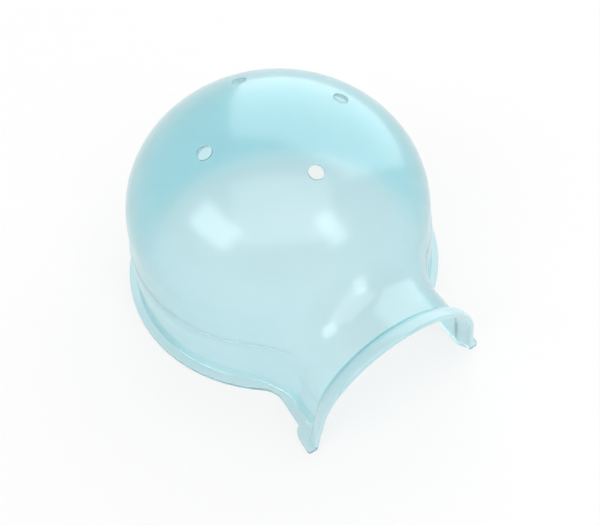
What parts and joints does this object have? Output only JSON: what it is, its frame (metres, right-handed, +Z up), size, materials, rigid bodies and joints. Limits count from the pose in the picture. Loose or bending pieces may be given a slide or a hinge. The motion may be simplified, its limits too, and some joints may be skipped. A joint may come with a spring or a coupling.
{
  "type": "small animal cave",
  "caption": "Clear tinted plastic igloo cave for small pets: a vented dome runs into an arched entrance tunnel with a raised lip, on a stepped skirt with a foot flange, open underneath.",
  "frame": {"origin": "on the ground, at the middle of the footprint's bounding box", "axes": "+Z up, the entrance faces -Y, and +Y runs along the tunnel towards the dome's back"},
  "size_m": [0.12, 0.1352, 0.0737],
  "materials": {
    "tinted_plastic": "glossy injection moulded polypropylene, pale cyan, hazy see-through"
  },
  "bodies": {
    "root": {"cave_shell": "tinted_plastic", "base_skirt": "tinted_plastic", "entrance_lip": "tinted_plastic"}
  },
  "joints": []
}
